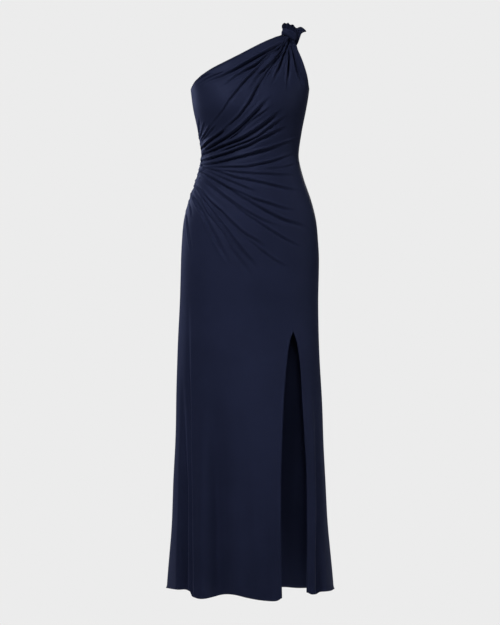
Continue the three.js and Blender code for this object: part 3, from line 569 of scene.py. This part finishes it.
# Where each grid column starts: on the neckline, at the knot, or on the armhole. Gives its angle,
# height, turn round the knot, and how firmly the knot holds it.
def columnTops(column, panel):
    front, neck = panel["front"], panel["neck"]
    start, stop = strapColumns(panel)
    afterStrap = stop + cornerColumns
    wide = knot["strapTurn"]
    turn = mix(-wide, wide, np.clip((column - start) / panel["strap"], 0, 1))
    endZ = strapEnd(turn)
    cornerZ = bandLowEdge(strapPoint(turn, 0 * turn, front)[:, 0]) - knot["cornerDrop"]
    inBand = np.clip(np.minimum(column - (start - 1), (stop + 1) - column), 0, 1)
    knotZ = mix(cornerZ, endZ, inBand)
    knotX = strapPoint(turn, knotZ, front)[:, 0] - dressForm["centreX"]
    knotAngle = angleAcross(knotX, knotZ, front)
    neckEdge = pathThrough(panel["neckline"])(np.clip(column / neck, 0, 1))
    armShare = (column - afterStrap) / (panel["columns"] - afterStrap)
    armEdge = pathThrough(panel["armhole"])(np.clip(armShare, 0, 1))
    onNeck = column < (start + stop) / 2
    edge = np.where(onNeck[:, None], neckEdge, armEdge)
    edgeAngle, edgeZ = fromElevation(edge[:, 0], edge[:, 1], front)
    hold = smoothStep(np.minimum(column - neck, afterStrap - column), 0, 1)
    angle = mix(edgeAngle, knotAngle, hold)
    z = mix(edgeZ, knotZ, hold)
    leftSeam, rightSeam = column == 0, column == panel["columns"]
    angle[leftSeam] = -math.pi / 2 if front else 1.5 * math.pi
    angle[rightSeam] = math.pi / 2
    z[leftSeam | rightSeam] = dressForm["underarm"]
    return angle, z, turn, hold


# Height of the hem under an angle: the front's from its elevation, set back by the cloth's own
# nearness, and the back's level, rising to the front's at each side seam by the fourth power of the
# sine.
def hemHeight(angle, front):
    level = slitOpening["backHem"]
    onCloth = clothOverForm(angle, level + 0 * angle)[0]
    if not front:
        sine = np.sin(angle)
        seams = hemHeight(np.array([-math.pi / 2, math.pi / 2]), True)
        return mix(level, np.where(sine < 0, seams[0], seams[1]), np.abs(sine) ** 4)
    nearness = 1 + onCloth[..., 1] / dressForm["viewDistance"]
    elevation = hemCurve((onCloth[..., 0] - dressForm["centreX"]) / nearness)
    viewHeight = dressForm["viewHeight"]
    return viewHeight + (elevation - viewHeight) * nearness


# Points of one run of columns, rows from the top edge down to the hem: each column's angle slides
# from its top's to the even spread, and near the knot the point is mixed with the gathered end. The
# rows go from the top to the level, the hip, the slit's top and the hem, crowded by panelRows.
def panelPoints(column, panel, rightLip):
    angle0, top, turn, hold = columnTops(column, panel)
    rows1, rows2, rows3, rows4 = panel["rows"]
    level, hip = panel["level"], dressForm["hip"]
    down = (np.arange(rows1) / rows1) ** panelRows["crowding"]
    z1 = mix(top[None, :], level, down[:, None])
    z2 = mix(level, hip, (np.arange(rows2) / rows2) ** panelRows["crowding"])[:, None] + 0 * top
    z3 = mix(hip, slitTopZ, np.arange(rows3) / rows3)[:, None] + 0 * top
    last = 1 - np.array(panelRows["last"]) / panelRows["skirtRun"]
    down = np.concatenate([np.linspace(0, last[0], rows4 + 2 - len(last)), last[1:]])
    hem = hemHeight(evenAngle(column, slitOpening["backHem"] + 0 * top, panel, rightLip),
                    panel["front"])
    z4 = mix(slitTopZ, hem[None, :], down[:, None])
    z = np.concatenate([z1, z2, z3, z4])
    spread = smoothStep(top[None, :] - z, 0 * top[None, :], top[None, :] - panel["spreadTo"])
    angle = mix(angle0[None, :], evenAngle(column[None, :], z, panel, rightLip), spread)
    point, height = clothOverForm(angle, z)
    drop = strapEnd(turn)[None, :] - z
    held = hold[None, :] * (1 - smoothStep(drop, *knot["strapBlend"]))
    around = np.broadcast_to(turn, z.shape)
    gathered = strapPoint(around, z, panel["front"])
    facing = -1 if panel["front"] else 1
    outward = np.stack([np.sin(around), facing * np.cos(around), 0 * z], -1)
    height = height * smoothStep(drop, *knot["foldsFrom"])
    gathered = gathered + outward * height[..., None]
    return mix(point, gathered, held[..., None])


# Outward normals of a grid of points, from the differences along its rows and columns.
def gridNormals(points, outward):
    around = np.gradient(points, axis=1)
    down = np.gradient(points, axis=0)
    return unit(np.cross(down, around)) * outward


# Turns the cloth in along an edge: a bell of the distance from the edge, taken off the height.
def turnEdge(points, outward, away):
    bell = np.exp(-(away / cloth["edgeWide"]) ** 2)
    return points - gridNormals(points, outward) * (cloth["edgeTurn"] * bell)[..., None]


# Distance along the rows or columns of a grid from its first line.
def distanceFrom(points, axis):
    steps = np.linalg.norm(np.diff(points, axis=axis), axis=2)
    pad = [(1, 0), (0, 0)] if axis == 0 else [(0, 0), (1, 0)]
    return np.pad(np.cumsum(steps, axis=axis), pad)


# One panel of cloth: its grid is made in one run, or in two that share the slit's column above the
# slit's top. Gives the points, the faces and the flat cloth's own coordinates for the knit.
def panelMesh(panel):
    start, stop = strapColumns(panel)
    starts = np.array([0, panel["neck"], start, stop, stop + cornerColumns, panel["columns"]], float)
    column = np.concatenate([
        np.linspace(a, b, n, endpoint=False)
        for a, b, n in zip(starts[:-1], starts[1:], panel["fine"])] + [starts[-1:]])
    front = panel["front"]
    outward = -1.0 if front else 1.0
    slitRow = sum(panel["rows"][:3])
    runs = [(column, False)]
    if panel["slit"]:
        at = int(np.flatnonzero(np.isclose(column, panel["slit"]))[0])
        runs = [(column[:at + 1], False), (column, True)]
    grids, uvs = [], []
    for run, rightLip in runs:
        whole = panelPoints(run, panel, rightLip)
        if rightLip:
            run, whole = run[at:], whole[:, at:]
        topAway = distanceFrom(whole, 0)
        hemAway = distanceFrom(whole[::-1], 0)[::-1]
        held = columnTops(run, panel)[3]
        fromSeam = np.minimum(run, panel["columns"] - run)
        seamward = np.maximum(0, 1 - cloth["seamFade"] * fromSeam / panel["columns"])
        free = cloth["strapFree"] * held + cloth["seamFree"] * seamward
        away = np.minimum(topAway + free[None, :], hemAway)
        if panel["slit"]:
            lip = distanceFrom(whole, 1) if rightLip else distanceFrom(whole[:, ::-1], 1)[:, ::-1]
            below = np.arange(len(whole)) >= slitRow
            away = np.where(below[:, None], np.minimum(away, lip), away)
        grids.append(turnEdge(whole, outward, away))
        width = panel["flat"][0] / panel["columns"] / cloth["gather"]
        placed = np.broadcast_arrays(run[None, :] * width, whole[..., 2] * millimetre)
        uvs.append(np.stack(placed, -1))
    number, count = [], 0
    for grid in grids:
        rows, columns = grid.shape[:2]
        number.append(count + np.arange(rows * columns).reshape(rows, columns))
        count += rows * columns
    if panel["slit"]:
        (left, right), shared = grids, slice(0, slitRow + 1)
        left[shared, -1] = right[shared, 0] = (left[shared, -1] + right[shared, 0]) / 2
        number[1][shared, 0] = number[0][shared, -1]
    used = np.unique(np.concatenate([block.ravel() for block in number]))
    points = np.concatenate([grid.reshape(-1, 3) for grid in grids])[used]
    uv = np.concatenate([placed.reshape(-1, 2) for placed in uvs])[used]
    faces = []
    for block in (np.searchsorted(used, block) for block in number):
        corners = [block[:-1, :-1], block[1:, :-1], block[1:, 1:], block[:-1, 1:]]
        if not front:
            corners = corners[::-1]
        faces.append(np.stack([c.ravel() for c in corners], -1))
    return points, np.concatenate(faces), uv


# Makes an object of its data and puts it in the scene.
def addObject(name, data):
    made = bpy.data.objects.new(name, data)
    bpy.context.scene.collection.objects.link(made)
    return made


# Puts points, faces and cloth coordinates into a mesh object, shaded smooth.
def addMesh(name, points, faces, uv, material):
    mesh = bpy.data.meshes.new(name)
    mesh.from_pydata((points * millimetre).tolist(), [], faces.tolist())
    layer = mesh.uv_layers.new(name="clothMap")
    layer.data.foreach_set("uv", uv[faces.ravel()].ravel())
    mesh.polygons.foreach_set("use_smooth", np.ones(len(faces), bool))
    mesh.materials.append(material)
    mesh.update()
    return addObject(name, mesh)


# Gives a sheet its thickness, inwards from the face that is modelled.
def thicken(piece, thickness):
    wall = piece.modifiers.new("cloth", "SOLIDIFY")
    wall.thickness = thickness * millimetre
    wall.offset = -1
    wall.use_quality_normals = True


# Materials

# One sRGB hex colour as linear red, green, blue and alpha.
def hexColour(text):
    value = np.array([int(text[i:i + 2], 16) for i in (1, 3, 5)]) / 255
    linear = np.where(value <= 0.04045, value / 12.92, ((value + 0.055) / 1.055) ** 2.4)
    return (*linear.tolist(), 1.0)


# Adds one node with its settings; an input is a value, or a pair of a node and its output's name.
def addNode(tree, kind, settings=None, **inputs):
    node = tree.nodes.new(kind)
    for name, value in (settings or {}).items():
        setattr(node, name, value)
    for name, value in inputs.items():
        key = int(name[1:]) if name[0] == "i" and name[1:].isdigit() else name.replace("_", " ")
        if isinstance(value, tuple) and isinstance(value[0], bpy.types.Node):
            tree.links.new(value[0].outputs[value[1]], node.inputs[key])
        else:
            node.inputs[key].default_value = value
    return node


# The nodes of a material or world, with none in them yet.
def emptyTree(owner):
    owner.use_nodes = True
    owner.node_tree.nodes.clear()
    return owner.node_tree


jersey = {
    "face": "#1c2034", "shade": "#181c2e", "roughness": 0.56, "ior": 1.46, "specular": 0.16,
    "specularTint": "#8793c8", "sheen": 0.12, "sheenRoughness": 0.5, "sheenTint": "#5f6ca0",
    "wale": 1.6,  # real wales are 0.7 mm apart; drawn at 1.6 mm, the finest that shows
    "course": 1.3, "courseShare": 0.4, "stitchDepth": 0.00006,
    "waveScale": 0.314,  # a wave texture of this scale repeats once in a unit
    "slubSize": 34.0, "slubDepth": 0.0006, "slubRoughness": (-0.04, 0.05),
    "dyeSize": 7.0, "patchy": (0.3, 0.7),  # noise between these goes from one end to the other
}


# Satin-faced viscose jersey, knitted and piece-dyed navy: a soft broad gloss on a dark matt ground,
# with fine wales, and a dye that takes a little unevenly.
def makeJersey(name):
    low, high = jersey["patchy"]
    glossier, duller = jersey["slubRoughness"]
    material = bpy.data.materials.new(name)
    tree = emptyTree(material)
    place = addNode(tree, "ShaderNodeUVMap", {"uv_map": "clothMap"})
    solid = addNode(tree, "ShaderNodeTexCoord")
    wales = addNode(tree, "ShaderNodeMapping", Vector=(place, "UV"),
                    Scale=(1000 / jersey["wale"], 1000 / jersey["course"], 1.0))
    stitch = addNode(tree, "ShaderNodeTexWave", {"wave_type": "BANDS", "bands_direction": "X"},
                     Vector=(wales, "Vector"), Scale=jersey["waveScale"], Distortion=0.6, Detail=1.0)
    course = addNode(tree, "ShaderNodeTexWave", {"wave_type": "BANDS", "bands_direction": "Y"},
                     Vector=(wales, "Vector"), Scale=jersey["waveScale"], Distortion=0.8, Detail=1.0)
    knit = addNode(tree, "ShaderNodeMath", {"operation": "MULTIPLY_ADD"},
                   i0=(course, "Fac"), i1=jersey["courseShare"], i2=(stitch, "Fac"))
    slub = addNode(tree, "ShaderNodeTexNoise", Vector=(solid, "Object"),
                   Scale=jersey["slubSize"], Detail=3.0, Roughness=0.5)
    dye = addNode(tree, "ShaderNodeTexNoise", Vector=(solid, "Object"), Scale=jersey["dyeSize"],
                  Detail=4.0, Roughness=0.6)
    tone = addNode(tree, "ShaderNodeMapRange", Value=(dye, "Fac"), From_Min=low, From_Max=high)
    colour = addNode(tree, "ShaderNodeMix", {"data_type": "RGBA"}, i0=(tone, "Result"),
                     i6=hexColour(jersey["shade"]), i7=hexColour(jersey["face"]))
    rough = addNode(tree, "ShaderNodeMapRange", Value=(slub, "Fac"), From_Min=low, From_Max=high,
                    To_Min=jersey["roughness"] + glossier, To_Max=jersey["roughness"] + duller)
    waves = addNode(tree, "ShaderNodeBump", Height=(slub, "Fac"), Strength=0.5,
                    Distance=jersey["slubDepth"])
    bump = addNode(tree, "ShaderNodeBump", Height=(knit, "Value"), Strength=0.6,
                   Distance=jersey["stitchDepth"], Normal=(waves, "Normal"))
    surface = addNode(tree, "ShaderNodeBsdfPrincipled", Base_Color=(colour, 2),
                      Roughness=(rough, "Result"), IOR=jersey["ior"], Normal=(bump, "Normal"),
                      Specular_IOR_Level=jersey["specular"],
                      Specular_Tint=hexColour(jersey["specularTint"]), Sheen_Weight=jersey["sheen"],
                      Sheen_Roughness=jersey["sheenRoughness"],
                      Sheen_Tint=hexColour(jersey["sheenTint"]))
    addNode(tree, "ShaderNodeOutputMaterial", Surface=(surface, "BSDF"))
    return material


jerseyFace = makeJersey("jerseyPieceDyedNavy")
print("materials made")


# Makes one piece of cloth with its thickness, on the one body, in the place of its solid.
def addCloth(name, node, surface, thickness):
    piece = addMesh(name, *surface, jerseyFace)
    thicken(piece, thickness)
    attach(piece, "root")
    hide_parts(node)
    print(name, "made,", len(surface[0]), "points")


for panel in (frontPanel, backPanel):
    addCloth(panel["name"], panel["node"], panelMesh(panel), cloth["thickness"])


# Knot

# A grid's faces; a closed one joins its last column to its first.
def gridFaces(rows, columns, closed):
    number = np.arange(rows * columns).reshape(rows, columns)
    if closed:
        number = np.concatenate([number, number[:, :1]], axis=1)
    corners = [number[:-1, :-1], number[:-1, 1:], number[1:, 1:], number[1:, :-1]]
    return np.stack([c.ravel() for c in corners], -1)


bandLook = {
    "columns": 120, "rows": 26, "thickness": 1.2,
    "wall": 1.6, "bulge": 1.9, "bulgePower": 0.8,  # how far out it stands, and in its middle
    "wraps": 1.5, "wrapDeep": 0.35, "slant": 2.2,  # soft creases of the wrapped cloth
    "flare": 5.0, "flarePower": 1.5, "drop": 3.5,  # its lower edge towards the neck
    "radius": 0.012,  # metres, for the knit
    "flat": (0.026, 0.09), "area": 0.0022,
}


# The wrapped band: an oval whose half sizes swell to the middle of its height, with slanting soft
# creases as a sine of height and turn, on an edge that slopes.
def bandMesh():
    turn = np.linspace(0, 2 * math.pi, bandLook["columns"], endpoint=False)[None, :]
    share = np.linspace(0, 1, bandLook["rows"])[:, None]
    middle = np.sin(math.pi * share)
    crease = np.sin(2 * math.pi * bandLook["wraps"] * share + bandLook["slant"] * np.sin(turn))
    swell = (bandLook["wall"] + bandLook["bulge"] * middle ** bandLook["bulgePower"]
             + bandLook["wrapDeep"] * crease * middle)
    neckward = np.maximum(0, -np.sin(turn)) ** 2
    flare = bandLook["flare"] * (1 - share) ** bandLook["flarePower"] * neckward
    x = knot["x"] + (knot["halfWidth"] + swell + flare) * np.sin(turn)
    y = -(knot["halfDepth"] + swell) * np.cos(turn)
    z = mix(bandLowEdge(x) - bandLook["drop"] * neckward, bandTopEdge(x), share)
    points = np.stack([x, y, z], -1)
    uv = np.stack(np.broadcast_arrays(turn * bandLook["radius"], z * millimetre), -1)
    return points.reshape(-1, 3), gridFaces(*x.shape, True), uv.reshape(-1, 2)


addCloth("knotBand", "knot_band", bandMesh(), bandLook["thickness"])

frillLook = {
    "columns": 150, "inBand": 8, "outside": 26,  # grid columns, and rows in and over the band
    "thickness": 0.9,
    "clear": 0.6,  # how far it starts over the gathered end, and bends over the band's edge
    "waves": 5.5, "waveDeep": 2.4,  # the ripple along its edge
    "degree": 0.0005, "row": 0.001,  # metres of cloth, for the knit
}
frills = {
    "frontFrill": {
        "front": True, "node": "front_frill", "flat": (0.05, 0.03), "area": 0.0014,
        "rows": [  # degrees round the oval, bends over x y z, edge x y z
            (-78, -19.6, -3, 51, -20.3, -3.5, 46.5), (-71.5, -19, -4, 52.5, -21.4, -5.5, 51),
            (-65, -18, -5.5, 54.5, -22, -7, 56), (-58.5, -16, -7, 56.5, -19.6, -9, 60.5),
            (-52, -14.5, -8, 56.5, -15.2, -10, 62.6), (-39, -10.5, -9, 55, -10.5, -12, 61.3),
            (-26, -6.5, -10, 56, -6, -13, 62.8), (-6.5, -1, -10, 54, 0, -13, 58.5),
            (6.5, 3, -10, 53, 3.6, -12, 57.5), (19.5, 6.5, -9.5, 53, 7, -12, 58.8),
            (39, 11, -8, 50, 11.5, -10, 54.5), (58.5, 14.5, -6, 46, 16, -7, 50),
            (78, 17, -2.5, 43, 19, -3.5, 47)]},
    "backFrill": {
        "front": False, "node": "back_frill", "flat": (0.055, 0.045), "area": 0.0022,
        "rows": [
            (-78, -17, 2, 54, -19, 5, 55), (-52, -13, 8, 54, -14, 13, 59),
            (-26, -5, 10, 54, -4, 16, 58), (0, 4, 11, 53, 5, 17, 56),
            (19.5, 11, 10.5, 52, 14, 18, 53.5), (32.5, 17, 10, 52, 21.5, 17.5, 52),
            (45.5, 20, 10, 53.5, 26, 17, 54.7), (52, 23, 9.5, 54, 31, 16, 54.7),
            (58.5, 25, 9.5, 54, 35.5, 15, 52.5), (65, 27, 9.5, 52, 43.7, 13, 43.2),
            (68, 25, 10, 52, 36, 12.5, 40.6), (71.5, 22, 10, 52, 30, 12.5, 35.5),
            (74.5, 20, 10, 52, 25.8, 12, 23.5), (77, 18, 9.5, 50, 17.5, 11, 3),
            (78, 15, 11, 47, 11, 12, 1)]},
}


# A frill: each column runs up inside the band, then on a quadratic curve over a bending point to
# the edge, with a ripple that grows towards the edge.
def frillMesh(frill):
    table = np.array(frill["rows"], float)
    curves = [curveThrough(table[:, 0], table[:, k]) for k in range(1, 7)]
    front = frill["front"]
    outward = -1 if front else 1
    inBand, columns = frillLook["inBand"], frillLook["columns"] + 1
    turn = np.linspace(-1, 1, columns) * knot["strapTurn"] * -outward
    degrees = np.degrees(turn)
    over = np.stack([curve(degrees) for curve in curves[:3]], -1)
    edge = np.stack([curve(degrees) for curve in curves[3:]], -1)
    lip = strapPoint(turn, 0 * turn, front)
    lip[:, 2] = bandTopEdge(lip[:, 0]) + frillLook["clear"]
    low = strapEnd(turn) + frillLook["clear"]
    up = np.linspace(0, 1, inBand, endpoint=False)[:, None]
    shaft = strapPoint(np.broadcast_to(turn, (inBand, columns)),
                       mix(low[None, :], lip[None, :, 2], up), front)
    t = np.linspace(0, 1, frillLook["outside"] + 1)[:, None, None]
    fall = (1 - t) ** 2 * lip + 2 * t * (1 - t) * over + t**2 * edge
    wave = np.sin(turn / knot["strapTurn"] * math.pi * frillLook["waves"])
    fall[..., 1] += outward * frillLook["waveDeep"] * wave[None, :] * t[..., 0]
    points = np.concatenate([shaft, fall])
    rows = len(points)
    uv = np.stack(np.broadcast_arrays(degrees[None, :] * frillLook["degree"],
                                      np.arange(rows)[:, None] * frillLook["row"]), -1)
    return points.reshape(-1, 3), gridFaces(rows, columns, False), uv.reshape(-1, 2)


for name, frill in frills.items():
    addCloth(name, frill["node"], frillMesh(frill), frillLook["thickness"])

# Studio, in metres

studio = {
    "grey": "#ececec", "ambient": 0.10, "middleX": -0.11,
    "cameraPlace": (-0.1072, -5.6, -0.7115), "lens": 120.4,
    "floorZ": -1.75, "floorRadius": 1.3, "floorSides": 96,
    "floorColour": "#8a8a8a", "floorGlow": 0.8,  # glows a little, so that it meets the backdrop
    "lights": [  # name, colour, place, height it is turned to, size, spread, power
        ("keyLight", "#ffffff", (-1.4, -2.4, 1.9), -0.5, 0.6, 42, 6.9),
        ("frontLight", "#ffffff", (0.03, -3.4, -0.25), -0.97, 0.4, 22, 0.42),
        ("leftLight", "#c3ceff", (-2.7, 2.1, 0.6), -0.5, 1.4, 180, 44.0),
        ("rightLight", "#ffffff", (3.2, -1.4, 0.5), -0.5, 1.6, 180, 41.0),
        ("backLight", "#ffffff", (0.9, 3.4, 1.0), -0.6, 1.6, 70, 7.0)],
}

camera = addObject("camera", bpy.data.cameras.new("camera"))
camera.data.sensor_width = 36
camera.data.lens = studio["lens"]
camera.location = studio["cameraPlace"]
camera.rotation_euler = (math.radians(90), 0, 0)
camera.data.dof.use_dof = False
camera.data.clip_end = 60
bpy.context.scene.camera = camera


# A square soft light at a place, turned to the middle of the dress at a height.
def addSoftLight(name, colour, place, turnedTo, size, spread, power):
    light = bpy.data.lights.new(name, "AREA")
    light.color = hexColour(colour)[:3]
    light.size = size
    light.spread = math.radians(spread)
    light.energy = power
    lamp = addObject(name, light)
    lamp.location = place
    aim = np.array([studio["middleX"], 0.0, turnedTo]) - np.array(place)
    level = math.hypot(aim[0], aim[1])
    lamp.rotation_euler = (math.atan2(level, -aim[2]), 0, math.atan2(aim[1], aim[0]) - math.pi / 2)
    lamp.visible_camera = False


for light in studio["lights"]:
    addSoftLight(*light)

world = bpy.data.worlds.new("studio")
bpy.context.scene.world = world
tree = emptyTree(world)
ray = addNode(tree, "ShaderNodeLightPath")
seen = addNode(tree, "ShaderNodeBackground", Color=hexColour(studio["grey"]), Strength=1.0)
lit = addNode(tree, "ShaderNodeBackground", Color=hexColour(studio["grey"]),
              Strength=studio["ambient"])
both = addNode(tree, "ShaderNodeMixShader", i0=(ray, "Is Camera Ray"), i1=(lit, "Background"),
               i2=(seen, "Background"))
addNode(tree, "ShaderNodeOutputWorld", Surface=(both, "Shader"))
bpy.context.scene.view_settings.view_transform = "Standard"

sides = studio["floorSides"]
floorTurn = np.linspace(0, 2 * math.pi, sides, endpoint=False)
floorEdge = np.stack([studio["middleX"] + studio["floorRadius"] * np.cos(floorTurn),
                      studio["floorRadius"] * np.sin(floorTurn),
                      studio["floorZ"] + 0 * floorTurn], -1)
floorMesh = bpy.data.meshes.new("floor")
floorMesh.from_pydata(floorEdge.tolist(), [], [list(range(sides))])
floorPaint = bpy.data.materials.new("mattPaintedFloor")
tree = emptyTree(floorPaint)
surface = addNode(tree, "ShaderNodeBsdfPrincipled", Base_Color=hexColour(studio["floorColour"]),
                  Roughness=0.9, Specular_IOR_Level=0.1, Emission_Color=hexColour(studio["grey"]),
                  Emission_Strength=studio["floorGlow"])
addNode(tree, "ShaderNodeOutputMaterial", Surface=(surface, "BSDF"))
floorMesh.materials.append(floorPaint)
addObject("floor", floorMesh)
print("studio set")
